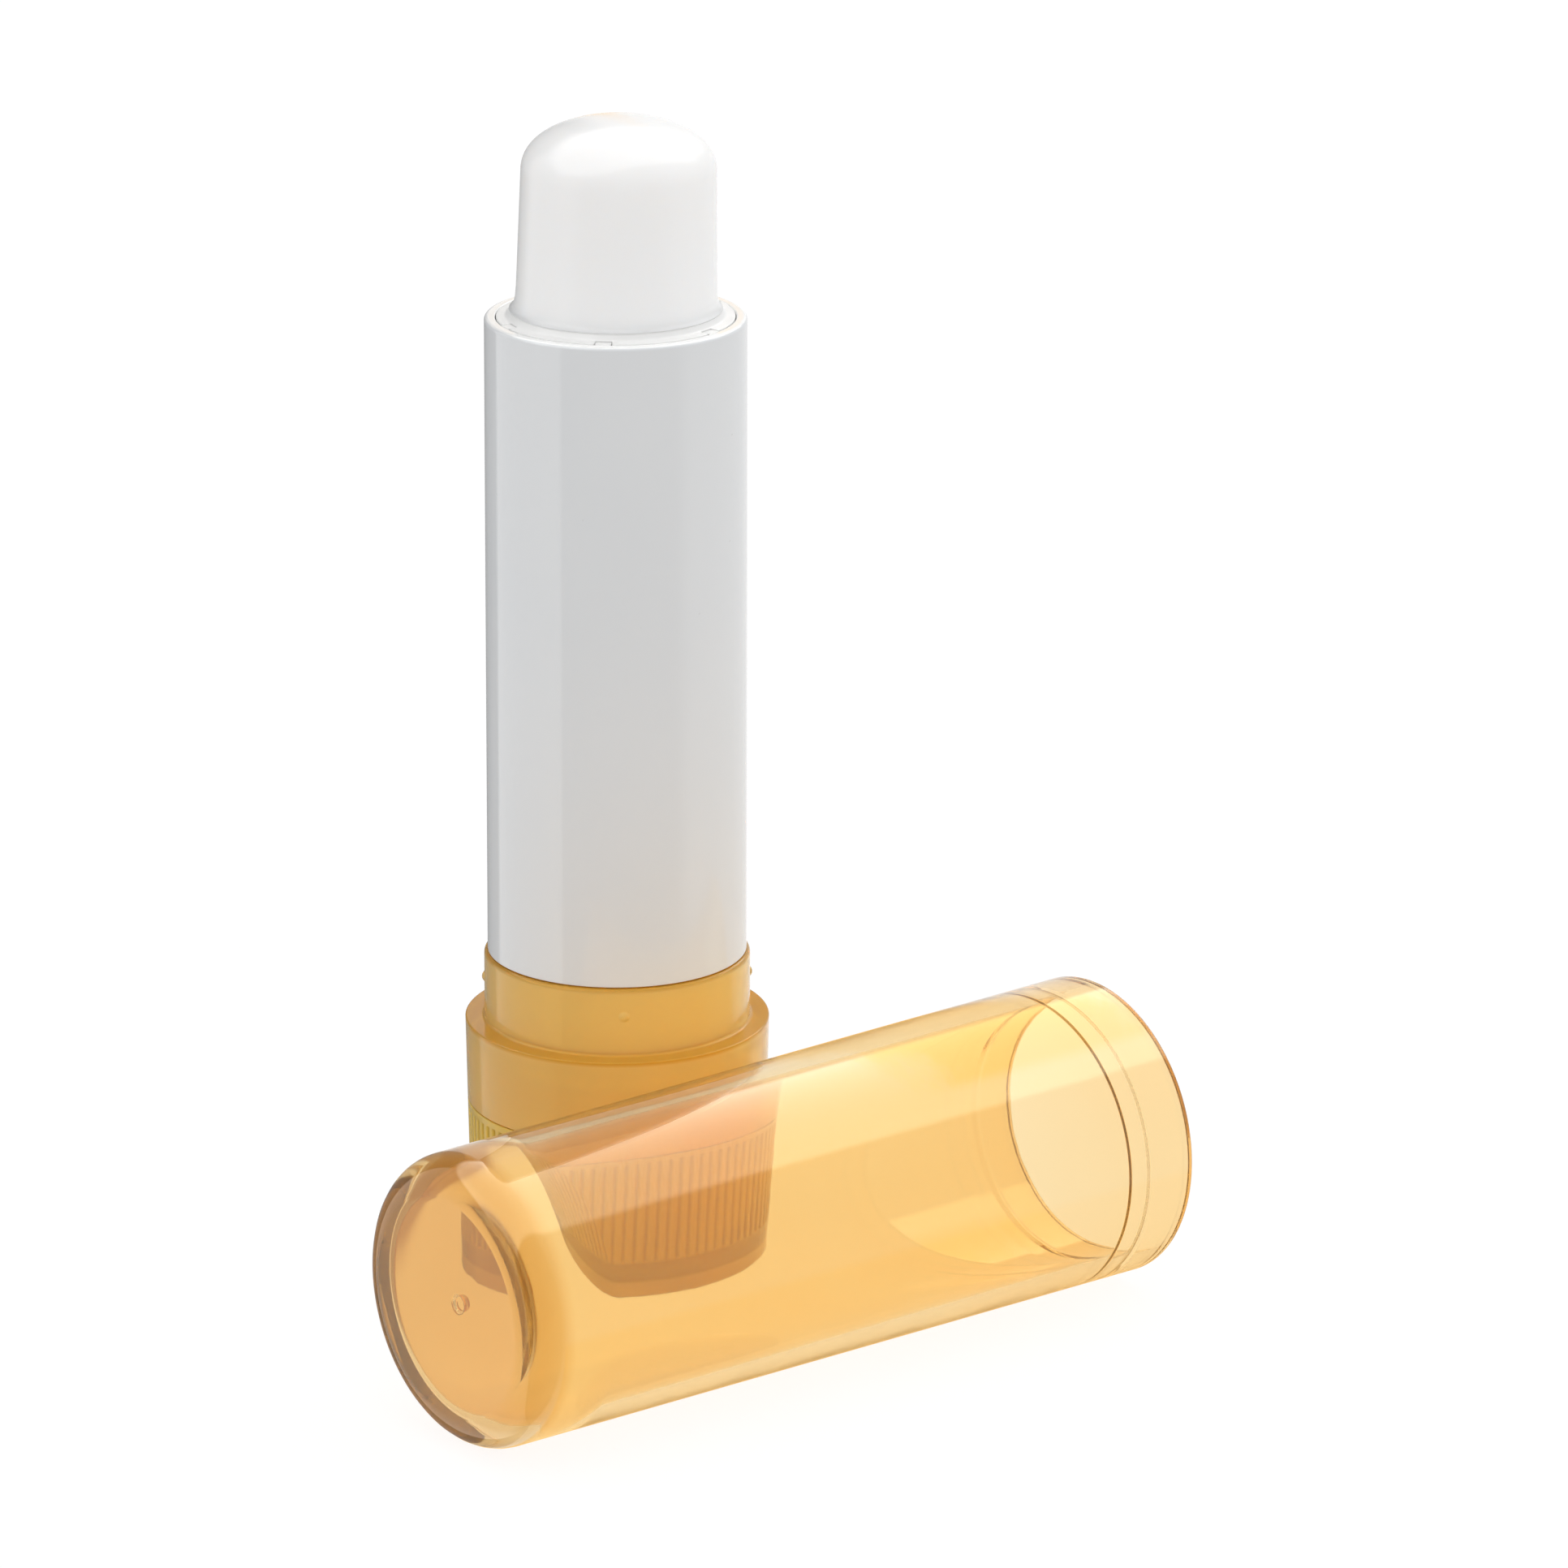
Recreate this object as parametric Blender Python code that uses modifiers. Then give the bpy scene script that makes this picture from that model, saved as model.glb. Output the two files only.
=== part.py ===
# Lip balm stick, wound up, with its cap pulled off and lying beside it.
# Metres, +Z up. The origin is the middle of the thumbwheel's underside, on the table.
# The cap lies along +X with its mouth at the high end.

import math

import bmesh
import bpy
from mathutils import Matrix, Vector

# Clearances that several pieces share
SEAT_GAP = 0.0003
RUN_GAP = 0.0003
LIFT_GAP = 0.0002
SEAM_GAP = 0.0002
OVERRUN = 0.001

# Base: the outer cone that the thumbwheel and the collar share, up to the ledge under the neck
BASE_HEIGHT = 0.016465
BASE_DRAFT = 0.00034

# Thumbwheel
WHEEL_FLOOR = 0.0015
WHEEL_FOOT_ROUND = 0.0003
WHEEL_RIM_ROUND = 0.00012
KNURL_LOW = 0.0028
KNURL_BELOW_RIM = 0.00045
KNURL_DEPTH = 0.00018
KNURL_BAR_SIDE = 0.0004
KNURL_COUNT = 84
SPIGOT_WALL = 0.0007
SNAP_HOLD = 0.00015
SNAP_LEAD_IN = 0.0004
SNAP_CATCH = 0.00015
SNAP_HEIGHT = 0.0006
BOSS_WALL = 0.0011
BOSS_HEIGHT = 0.0045

# Collar sleeve
SKIRT_HEIGHT = 0.005315
SKIRT_WALL = 0.0011
LEDGE_WIDTH = 0.00123
LEDGE_THICKNESS = 0.0012
LEDGE_EDGE_ROUND = 0.0001
NECK_STEP = 0.00022
NECK_HEIGHT = 0.00443
NECK_WALL = 0.00082
NECK_TOP_ROUND = 0.00025
NECK_FOOT_ROUND = 0.00025
NUB_RADIUS = 0.00042
NUB_STAND = 0.00015
NUB_RISE = 0.00264
NUB_COUNT = 4
NUB_TURN = math.radians(-33.9)

# Barrel, with the stem that stands in the collar
BARREL_LENGTH = 0.041205
BARREL_RADIUS = 0.00825
BARREL_DRAFT = 0.00005
BARREL_WALL = 0.0007
BARREL_RIM_ROUND = 0.00025
BARREL_LIP_ROUND = 0.0001
STEM_WALL = 0.00075
STEM_LENGTH = 0.0096
STEM_BEAD_STAND = 0.0005
STEM_BEAD_HEIGHT = 0.0006
RIB_COUNT = 6
RIB_WIDTH = 0.001
RIB_STAND = 0.0006
RIB_TURN = math.radians(-13.0)
RIB_BELOW_RIM = 0.0016
RIB_ROOT = 0.0002
KEY_COUNT = 2
KEY_WIDTH = 0.0016
KEY_STAND = 0.0003
KEY_ROOT = 0.0002

# Elevator cup, with its guide ring, flange and nut
CUP_RISE = 0.0005
CUP_WALL = 0.0004
CUP_RIM_ROUND = 0.00015
CUP_DEPTH = 0.012
CUP_FLOOR = 0.001
GUIDE_RING_BELOW_RIM = 0.0009
GUIDE_RING_THICKNESS = 0.0008
FLANGE_THICKNESS = 0.0016
NOTCH_LAND = 0.00005
NUT_WALL = 0.0012
NUT_WIRE_RADIUS = 0.00045
NUT_THREAD_RISE = 0.0012
NUT_THREAD_HEIGHT = 0.0025

# Drive screw
THREAD_LEAD = 0.004
THREAD_STARTS = 2
THREAD_RADIUS = 0.0026
THREAD_DEPTH = 0.0008
THREAD_WIRE_RADIUS = 0.0006
THREAD_BITE = 0.00025
THREAD_GAP = 0.00035
SCREW_SHANK_SIDE = 0.003
SCREW_FLANGE_THICKNESS = 0.0008
STOP_THICKNESS = 0.0007
SCREW_TIP_HEIGHT = 0.0008
SCREW_TIP_ROUND = 0.0004
TURN_POINTS = 12

# Balm
BALM_REACH = 0.01205
BALM_OVERHANG = 0.00005
BALM_DRAFT = 0.00022
BALM_TUCK = 0.00095
BALM_DOME_HEIGHT = 0.00335
BALM_DOME_POWER = 2.2
BALM_DOME_STEPS = 9
BALM_FOOT_CHAMFER = 0.0005

# Cap
CAP_LENGTH = 0.051
CAP_MOUTH_WALL = 0.00097
CAP_DRAFT = 0.00049
CAP_END_ROUND = 0.0022
CAP_END_WALL = 0.002
CAP_INNER_ROUND = 0.0011
CAP_END_NARROWING = 0.001
CAP_END_TAPER = 0.003
CAP_BORE_GAP = 0.00015
CAP_BORE_DRAFT = 0.0001
CAP_SOCKET_GAP = 0.00021
CAP_SOCKET_DEPTH = 0.0047
CAP_STEP_RUN = 0.00015
CAP_MOUTH_ROUND = 0.00018
CAP_BEAD_FROM_MOUTH = 0.003
CAP_BEAD_STAND = 0.00014
CAP_BEAD_HALF_WIDTH = 0.00035
CAP_GATE_RADIUS = 0.00055
CAP_GATE_HEIGHT = 0.0006
CAP_END_X = -0.028
CAP_STANDOFF = 0.00078

# Facets round each turned piece
OUTER_STEPS = 56
INNER_STEPS = 40
SCREW_STEPS = 24
WHEEL_STEPS = KNURL_COUNT
ROUND_STEPS = 3
EDGE_STEPS = 2

# Heights and radii that follow from the sizes above
NECK_RADIUS = BARREL_RADIUS + NECK_STEP
BASE_TOP_RADIUS = NECK_RADIUS + LEDGE_WIDTH
BASE_FOOT_RADIUS = BASE_TOP_RADIUS - BASE_DRAFT
BASE_SLOPE = BASE_DRAFT / BASE_HEIGHT
SKIRT_FOOT = BASE_HEIGHT - SKIRT_HEIGHT
WHEEL_HEIGHT = SKIRT_FOOT - SEAM_GAP
KNURL_HIGH = WHEEL_HEIGHT - KNURL_BELOW_RIM
SKIRT_BORE_RADIUS = BASE_TOP_RADIUS - SKIRT_WALL
LEDGE_UNDERSIDE = BASE_HEIGHT - LEDGE_THICKNESS
NECK_TOP = BASE_HEIGHT + NECK_HEIGHT
NECK_BORE_RADIUS = NECK_RADIUS - NECK_WALL
BARREL_FOOT = NECK_TOP + SEAM_GAP
BARREL_RIM_HEIGHT = BARREL_FOOT + BARREL_LENGTH
BARREL_RIM_RADIUS = BARREL_RADIUS - BARREL_DRAFT
BARREL_BORE_RADIUS = BARREL_RIM_RADIUS - BARREL_WALL
BARREL_BORE_FOOT = BARREL_FOOT + BARREL_WALL
STEM_RADIUS = NECK_BORE_RADIUS - SEAT_GAP
STEM_BORE_RADIUS = STEM_RADIUS - STEM_WALL
STEM_FOOT = BARREL_FOOT - STEM_LENGTH
STEM_BEAD_TOP = LEDGE_UNDERSIDE - SEAT_GAP
STEM_BEAD_FOOT = STEM_BEAD_TOP - STEM_BEAD_HEIGHT
SPIGOT_TOP = STEM_BEAD_FOOT - RUN_GAP
SPIGOT_RADIUS = SKIRT_BORE_RADIUS - RUN_GAP
SPIGOT_BORE_RADIUS = SPIGOT_RADIUS - SPIGOT_WALL
SNAP_RADIUS = SKIRT_BORE_RADIUS + SNAP_HOLD
SNAP_TOP = SPIGOT_TOP - SNAP_LEAD_IN
SNAP_FOOT = SNAP_TOP - SNAP_HEIGHT
GROOVE_RADIUS = SNAP_RADIUS + RUN_GAP
GROOVE_TOP = SPIGOT_TOP + RUN_GAP
GROOVE_FOOT = SNAP_FOOT - SNAP_CATCH - RUN_GAP
RIB_INNER_RADIUS = BARREL_BORE_RADIUS - RIB_STAND
RIB_TOP = BARREL_RIM_HEIGHT - RIB_BELOW_RIM
FLANGE_RADIUS = BARREL_BORE_RADIUS - LIFT_GAP
NOTCH_FLOOR_RADIUS = RIB_INNER_RADIUS - LIFT_GAP
CUP_RADIUS = NOTCH_FLOOR_RADIUS - NOTCH_LAND
CUP_BORE_RADIUS = CUP_RADIUS - CUP_WALL
CUP_RIM_HEIGHT = BARREL_RIM_HEIGHT + CUP_RISE
CUP_FLOOR_TOP = CUP_RIM_HEIGHT - CUP_DEPTH
CUP_UNDERSIDE = CUP_FLOOR_TOP - CUP_FLOOR
GUIDE_RING_TOP = CUP_RIM_HEIGHT - GUIDE_RING_BELOW_RIM
GUIDE_RING_FOOT = GUIDE_RING_TOP - GUIDE_RING_THICKNESS
BALM_FOOT = CUP_FLOOR_TOP + SEAT_GAP
BALM_FOOT_RADIUS = CUP_BORE_RADIUS - SEAT_GAP
BALM_ROOT_RADIUS = CUP_BORE_RADIUS + BALM_OVERHANG
BALM_SHOULDER_RADIUS = BALM_ROOT_RADIUS - BALM_DRAFT
BALM_TOP_HEIGHT = CUP_RIM_HEIGHT + BALM_REACH
BALM_SHOULDER = BALM_TOP_HEIGHT - BALM_DOME_HEIGHT
LIFT_TRAVEL = BALM_TOP_HEIGHT - BARREL_RIM_HEIGHT + BALM_TUCK
SCREW_CORE_RADIUS = THREAD_RADIUS - THREAD_DEPTH
NUT_BORE_RADIUS = THREAD_RADIUS + THREAD_GAP
NUT_RADIUS = NUT_BORE_RADIUS + NUT_WALL
SCREW_TOP = CUP_UNDERSIDE - LIFT_TRAVEL - SEAT_GAP
HIGH_STOP_TOP = SCREW_TOP - SCREW_TIP_HEIGHT
HIGH_STOP_FOOT = HIGH_STOP_TOP - STOP_THICKNESS
NUT_THREAD_TOP = HIGH_STOP_FOOT - SEAT_GAP - NUT_WIRE_RADIUS
NUT_THREAD_FOOT = NUT_THREAD_TOP - NUT_THREAD_HEIGHT
NUT_FOOT = NUT_THREAD_FOOT - NUT_THREAD_RISE
LOW_STOP_TOP = NUT_FOOT - LIFT_TRAVEL - SEAT_GAP
LOW_STOP_FOOT = LOW_STOP_TOP - STOP_THICKNESS
BOSS_BORE_SIDE = SCREW_SHANK_SIDE + SEAT_GAP + SEAT_GAP
BOSS_RADIUS = BOSS_BORE_SIDE * math.sqrt(0.5) + BOSS_WALL
BOSS_TOP = WHEEL_FLOOR + BOSS_HEIGHT
SHANK_FOOT = WHEEL_FLOOR + SEAT_GAP
SCREW_FLANGE_FOOT = BOSS_TOP + SEAT_GAP
SCREW_FLANGE_TOP = SCREW_FLANGE_FOOT + SCREW_FLANGE_THICKNESS
CAP_BORE_STEP_RADIUS = BARREL_RADIUS + CAP_BORE_GAP
CAP_BORE_END_RADIUS = CAP_BORE_STEP_RADIUS - CAP_BORE_DRAFT
CAP_SOCKET_RADIUS = NECK_RADIUS + CAP_SOCKET_GAP
CAP_MOUTH_RADIUS = CAP_SOCKET_RADIUS + CAP_MOUTH_WALL
CAP_END_RADIUS = CAP_MOUTH_RADIUS - CAP_DRAFT
CAP_TILT = math.atan2(CAP_DRAFT, CAP_LENGTH)
CAP_AXIS_Y = -(BASE_TOP_RADIUS + CAP_MOUTH_RADIUS + CAP_STANDOFF)

# Looks: base colour, roughness, transmission
AMBER = ((0.93, 0.53, 0.14, 1.0), 0.08, 0.8)
WHITE_GLOSS = ((0.82, 0.83, 0.84, 1.0), 0.2, 0.0)
WHITE_SATIN = ((0.86, 0.86, 0.85, 1.0), 0.4, 0.0)
WAX = ((0.92, 0.91, 0.88, 1.0), 0.35, 0.0)


def clear_scene():
    for item in list(bpy.data.objects):
        bpy.data.objects.remove(item, do_unlink=True)


def new_collection(name):
    collection = bpy.data.collections.new(name)
    bpy.context.scene.collection.children.link(collection)
    return collection


def new_material(name, look):
    colour, roughness, transmission = look
    material = bpy.data.materials.new(name)
    material.use_nodes = True
    shader = material.node_tree.nodes["Principled BSDF"]
    shader.inputs["Base Color"].default_value = colour
    shader.inputs["Roughness"].default_value = roughness
    shader.inputs["Metallic"].default_value = 0.0
    shader.inputs["Transmission Weight"].default_value = transmission
    material.diffuse_color = colour
    return material


def add_part(name, mesh, look):
    """A piece of the object, in the parts collection, with a material of its own."""
    mesh.materials.append(new_material(name, look))
    item = bpy.data.objects.new(name, mesh)
    bpy.data.collections["lip_balm_stick"].objects.link(item)
    return item


def add_tool(name, mesh):
    """A shape that cuts a piece or is joined to it, left out of the model itself."""
    item = bpy.data.objects.new(name, mesh)
    bpy.data.collections["cutters"].objects.link(item)
    item.hide_render = True
    item.display_type = "WIRE"
    return item


def to_mesh(name, shape):
    mesh = bpy.data.meshes.new(name)
    shape.to_mesh(mesh)
    shape.free()
    return mesh


def arc(centre_radius, centre_height, radius, start, end, steps=ROUND_STEPS):
    """Points of a round in the profile plane. Angles in degrees, from outwards towards up."""
    points = []
    for index in range(steps + 1):
        angle = math.radians(start + (end - start) * index / steps)
        across = centre_radius + radius * math.cos(angle)
        up = centre_height + radius * math.sin(angle)
        points.append((across, up))
    return points


def profile_mesh(name, outline, closed):
    shape = bmesh.new()
    points = [shape.verts.new((across, 0.0, up)) for across, up in outline]
    for first, second in zip(points, points[1:]):
        shape.edges.new((first, second))
    if closed:
        shape.edges.new((points[-1], points[0]))
    return to_mesh(name, shape)


def spin(item, steps):
    """Turns a profile round the object's Z axis."""
    screw = item.modifiers.new("turn", "SCREW")
    screw.axis = "Z"
    screw.angle = math.tau
    screw.steps = steps
    screw.render_steps = steps
    screw.use_merge_vertices = True
    screw.merge_threshold = 0.00001
    screw.use_smooth_shade = True


def turned_part(name, outline, steps, look, closed=False):
    item = add_part(name, profile_mesh(name, outline, closed), look)
    spin(item, steps)
    return item


def boolean(item, tool, operation):
    modifier = item.modifiers.new(tool.name, "BOOLEAN")
    modifier.object = tool
    modifier.operation = operation
    modifier.solver = "EXACT"


def add_box(shape, low, high, placement):
    """Adds a box between two corners to a mesh being built, then places it."""
    low = Vector(low)
    high = Vector(high)
    size = high - low
    made = bmesh.ops.create_cube(shape, size=1.0)["verts"]
    bmesh.ops.scale(shape, vec=size, verts=made)
    bmesh.ops.translate(shape, vec=(low + high) / 2, verts=made)
    bmesh.ops.transform(shape, matrix=placement, verts=made)


def box_ring(name, count, first_turn, low, high):
    """Like boxes evenly round the stick's axis, as one tool. Corners are given at angle zero."""
    shape = bmesh.new()
    for index in range(count):
        turn = first_turn + math.tau * index / count
        add_box(shape, low, high, Matrix.Rotation(turn, 4, "Z"))
    return add_tool(name, to_mesh(name, shape))


def helix_ridges(name, helix_radius, wire_radius, foot, top, first_turn):
    """Round ridges of a right-hand thread, one for each start, as tools in mesh form."""
    ridges = []
    count = math.ceil((top - foot) / THREAD_LEAD * TURN_POINTS) + 1
    for start in range(THREAD_STARTS):
        curve = bpy.data.curves.new(name, "CURVE")
        curve.dimensions = "3D"
        curve.bevel_depth = wire_radius
        curve.bevel_resolution = 1
        curve.use_fill_caps = True
        spline = curve.splines.new("POLY")
        spline.points.add(count - 1)
        start_turn = first_turn + math.tau * start / THREAD_STARTS
        for index, point in enumerate(spline.points):
            height = foot + (top - foot) * index / (count - 1)
            angle = start_turn + math.tau * height / THREAD_LEAD
            point.co = (helix_radius * math.cos(angle), helix_radius * math.sin(angle), height, 1.0)
        wire = add_tool(name + "_wire", curve)
        bpy.context.view_layer.update()
        depsgraph = bpy.context.evaluated_depsgraph_get()
        mesh = bpy.data.meshes.new_from_object(wire.evaluated_get(depsgraph))
        shape = bmesh.new()
        shape.from_mesh(mesh)
        bmesh.ops.remove_doubles(shape, verts=shape.verts, dist=0.000001)
        shape.to_mesh(mesh)
        shape.free()
        ridge = add_tool(name, mesh)
        ridge.matrix_world = wire.matrix_world.copy()
        bpy.data.objects.remove(wire, do_unlink=True)
        ridges.append(ridge)
    return ridges


def base_radius(height):
    """Outer radius of the base at a height above the table."""
    return BASE_FOOT_RADIUS + BASE_SLOPE * height


def cap_radius(length):
    """Outer radius of the cap at a length from its closed end."""
    return CAP_END_RADIUS + (CAP_MOUTH_RADIUS - CAP_END_RADIUS) * length / CAP_LENGTH


def knurl_bars():
    """Square bars stood on edge round the thumbwheel; each cuts one groove between two ribs."""
    shape = bmesh.new()
    half = KNURL_BAR_SIDE / 2
    middle = (KNURL_LOW + KNURL_HIGH) / 2
    reach = (KNURL_HIGH - KNURL_LOW) / 2
    outwards = base_radius(middle) - KNURL_DEPTH + KNURL_BAR_SIDE * math.sqrt(0.5)
    on_edge = Matrix.Rotation(math.radians(45.0), 4, "Z")
    leaning = Matrix.Rotation(math.atan(BASE_SLOPE), 4, "Y")
    standing = Matrix.Translation((outwards, 0.0, middle)) @ leaning @ on_edge
    for index in range(KNURL_COUNT):
        turn = math.tau * (index + 0.5) / KNURL_COUNT
        placement = Matrix.Rotation(turn, 4, "Z") @ standing
        add_box(shape, (-half, -half, -reach), (half, half, reach), placement)
    return add_tool("knurl_bars", to_mesh("knurl_bars", shape))


def make_thumbwheel():
    foot_round_centre = base_radius(WHEEL_FOOT_ROUND) - WHEEL_FOOT_ROUND
    rim_round_centre = base_radius(WHEEL_HEIGHT) - WHEEL_RIM_ROUND
    outline = [
        (0.0, BOSS_TOP),
        (BOSS_RADIUS, BOSS_TOP),
        (BOSS_RADIUS, WHEEL_FLOOR),
        (SPIGOT_BORE_RADIUS, WHEEL_FLOOR),
        (SPIGOT_BORE_RADIUS, SPIGOT_TOP),
        (SPIGOT_RADIUS, SPIGOT_TOP),
        (SNAP_RADIUS, SNAP_TOP),
        (SNAP_RADIUS, SNAP_FOOT),
        (SPIGOT_RADIUS, SNAP_FOOT - SNAP_CATCH),
        (SPIGOT_RADIUS, WHEEL_HEIGHT),
    ]
    outline += arc(rim_round_centre, WHEEL_HEIGHT - WHEEL_RIM_ROUND, WHEEL_RIM_ROUND, 90, 0, EDGE_STEPS)
    outline += arc(foot_round_centre, WHEEL_FOOT_ROUND, WHEEL_FOOT_ROUND, 0, -90)
    outline.append((0.0, 0.0))
    wheel = turned_part("thumbwheel", outline, WHEEL_STEPS, AMBER)
    half = BOSS_BORE_SIDE / 2
    socket = box_ring("boss_socket", 1, 0.0, (-half, -half, WHEEL_FLOOR), (half, half, BOSS_TOP + OVERRUN))
    boolean(wheel, socket, "DIFFERENCE")
    boolean(wheel, knurl_bars(), "DIFFERENCE")


def make_drive_screw():
    outline = [
        (0.0, SCREW_TOP),
        (SCREW_CORE_RADIUS - SCREW_TIP_ROUND, SCREW_TOP),
        (SCREW_CORE_RADIUS, SCREW_TOP - SCREW_TIP_ROUND),
        (SCREW_CORE_RADIUS, HIGH_STOP_TOP),
        (THREAD_RADIUS, HIGH_STOP_TOP),
        (THREAD_RADIUS, HIGH_STOP_FOOT),
        (SCREW_CORE_RADIUS, HIGH_STOP_FOOT),
        (SCREW_CORE_RADIUS, LOW_STOP_TOP),
        (NUT_RADIUS, LOW_STOP_TOP),
        (NUT_RADIUS, LOW_STOP_FOOT),
        (SCREW_CORE_RADIUS, LOW_STOP_FOOT),
        (SCREW_CORE_RADIUS, SCREW_FLANGE_TOP),
        (BOSS_RADIUS, SCREW_FLANGE_TOP),
        (BOSS_RADIUS, SCREW_FLANGE_FOOT),
        (0.0, SCREW_FLANGE_FOOT),
    ]
    screw = turned_part("drive_screw", outline, SCREW_STEPS, WHITE_SATIN)
    half = SCREW_SHANK_SIDE / 2
    shank_top = SCREW_FLANGE_FOOT + SCREW_FLANGE_THICKNESS / 2
    shank = box_ring("screw_shank", 1, 0.0, (-half, -half, SHANK_FOOT), (half, half, shank_top))
    boolean(screw, shank, "UNION")
    foot = LOW_STOP_TOP - STOP_THICKNESS / 2
    top = HIGH_STOP_FOOT + STOP_THICKNESS / 2 - THREAD_WIRE_RADIUS
    helix_radius = THREAD_RADIUS - THREAD_WIRE_RADIUS
    for ridge in helix_ridges("screw_ridge", helix_radius, THREAD_WIRE_RADIUS, foot, top, 0.0):
        boolean(screw, ridge, "UNION")


def make_collar_sleeve():
    neck_round_centre = NECK_RADIUS - NECK_TOP_ROUND
    foot_round_centre = NECK_RADIUS + NECK_FOOT_ROUND
    edge_round_centre = BASE_TOP_RADIUS - LEDGE_EDGE_ROUND
    outline = [(NECK_BORE_RADIUS, NECK_TOP)]
    outline += arc(neck_round_centre, NECK_TOP - NECK_TOP_ROUND, NECK_TOP_ROUND, 90, 0)
    outline += arc(foot_round_centre, BASE_HEIGHT + NECK_FOOT_ROUND, NECK_FOOT_ROUND, 180, 270)
    outline += arc(edge_round_centre, BASE_HEIGHT - LEDGE_EDGE_ROUND, LEDGE_EDGE_ROUND, 90, 0, EDGE_STEPS)
    outline += [
        (base_radius(SKIRT_FOOT), SKIRT_FOOT),
        (SKIRT_BORE_RADIUS, SKIRT_FOOT),
        (SKIRT_BORE_RADIUS, GROOVE_FOOT),
        (GROOVE_RADIUS, GROOVE_FOOT + SNAP_CATCH),
        (GROOVE_RADIUS, GROOVE_TOP - SNAP_LEAD_IN),
        (SKIRT_BORE_RADIUS, GROOVE_TOP),
        (SKIRT_BORE_RADIUS, LEDGE_UNDERSIDE),
        (NECK_BORE_RADIUS, LEDGE_UNDERSIDE),
    ]
    sleeve = turned_part("collar_sleeve", outline, OUTER_STEPS, AMBER, closed=True)
    half = KEY_WIDTH / 2 + SEAT_GAP
    slot_floor = STEM_RADIUS + KEY_STAND + SEAT_GAP
    low = (STEM_RADIUS, -half, LEDGE_UNDERSIDE - OVERRUN)
    high = (slot_floor, half, NECK_TOP + OVERRUN)
    boolean(sleeve, box_ring("key_slots", KEY_COUNT, RIB_TURN, low, high), "DIFFERENCE")
    shape = bmesh.new()
    outwards = NECK_RADIUS + NUB_STAND - NUB_RADIUS
    for index in range(NUB_COUNT):
        turn = Matrix.Rotation(NUB_TURN + math.tau * index / NUB_COUNT, 4, "Z")
        placement = turn @ Matrix.Translation((outwards, 0.0, BASE_HEIGHT + NUB_RISE))
        bmesh.ops.create_uvsphere(shape, u_segments=10, v_segments=6, radius=NUB_RADIUS, matrix=placement)
    boolean(sleeve, add_tool("snap_nubs", to_mesh("snap_nubs", shape)), "UNION")


def make_barrel():
    rim_round_centre = BARREL_RIM_RADIUS - BARREL_RIM_ROUND
    lip_round_centre = BARREL_BORE_RADIUS + BARREL_LIP_ROUND
    outline = arc(lip_round_centre, BARREL_RIM_HEIGHT - BARREL_LIP_ROUND, BARREL_LIP_ROUND, 180, 90, EDGE_STEPS)
    outline += arc(rim_round_centre, BARREL_RIM_HEIGHT - BARREL_RIM_ROUND, BARREL_RIM_ROUND, 90, 0)
    outline += [
        (BARREL_RADIUS, BARREL_FOOT),
        (STEM_RADIUS, BARREL_FOOT),
        (STEM_RADIUS, STEM_BEAD_TOP),
        (STEM_RADIUS + STEM_BEAD_STAND, STEM_BEAD_TOP),
        (STEM_RADIUS, STEM_BEAD_FOOT),
        (STEM_RADIUS, STEM_FOOT),
        (STEM_BORE_RADIUS, STEM_FOOT),
        (STEM_BORE_RADIUS, BARREL_BORE_FOOT - STEM_WALL),
        (BARREL_BORE_RADIUS, BARREL_BORE_FOOT),
    ]
    barrel = turned_part("barrel", outline, OUTER_STEPS, WHITE_GLOSS, closed=True)
    half = RIB_WIDTH / 2
    low = (RIB_INNER_RADIUS, -half, BARREL_BORE_FOOT - RIB_ROOT)
    high = (BARREL_BORE_RADIUS + RIB_ROOT, half, RIB_TOP)
    boolean(barrel, box_ring("guide_ribs", RIB_COUNT, RIB_TURN, low, high), "UNION")
    half = KEY_WIDTH / 2
    low = (STEM_RADIUS - KEY_ROOT, -half, LEDGE_UNDERSIDE)
    high = (STEM_RADIUS + KEY_STAND, half, BARREL_FOOT + KEY_ROOT)
    boolean(barrel, box_ring("stem_keys", KEY_COUNT, RIB_TURN, low, high), "UNION")


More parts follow.
